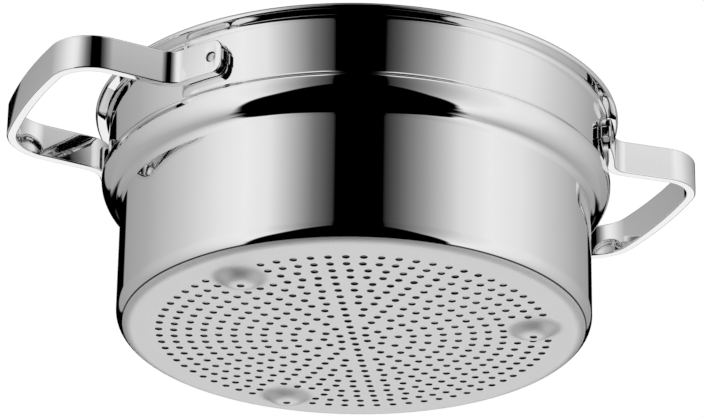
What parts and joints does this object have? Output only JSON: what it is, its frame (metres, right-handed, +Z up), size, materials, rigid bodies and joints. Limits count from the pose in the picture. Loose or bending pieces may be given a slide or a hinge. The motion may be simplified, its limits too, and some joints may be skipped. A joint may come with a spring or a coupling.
{
  "type": "potato steamer pot",
  "caption": "Polished steel steamer insert with a perforated domed base on pressed feet, a seating shoulder, a plain collar, a flared pouring rim and welded strap handles.",
  "frame": {"origin": "on the standing plane under the three feet, on the pot's own axis", "axes": "+Z up along the pot's axis, +X through the middle of the right-hand handle, -Y the side that faces the viewer"},
  "size_m": [0.284, 0.2142, 0.0977],
  "materials": {
    "mirror_steel": "mirror polished stainless steel",
    "satin_steel": "fine satin stainless steel",
    "strap_steel": "polished stainless steel strip",
    "weld_steel": "plain steel stud end"
  },
  "bodies": {
    "root": {"pot_wall": "mirror_steel", "perforated_base": "satin_steel", "right_handle": "strap_steel", "right_front_weld_stud": "weld_steel", "right_back_weld_stud": "weld_steel", "left_handle": "strap_steel", "left_front_weld_stud": "weld_steel", "left_back_weld_stud": "weld_steel"}
  },
  "joints": []
}
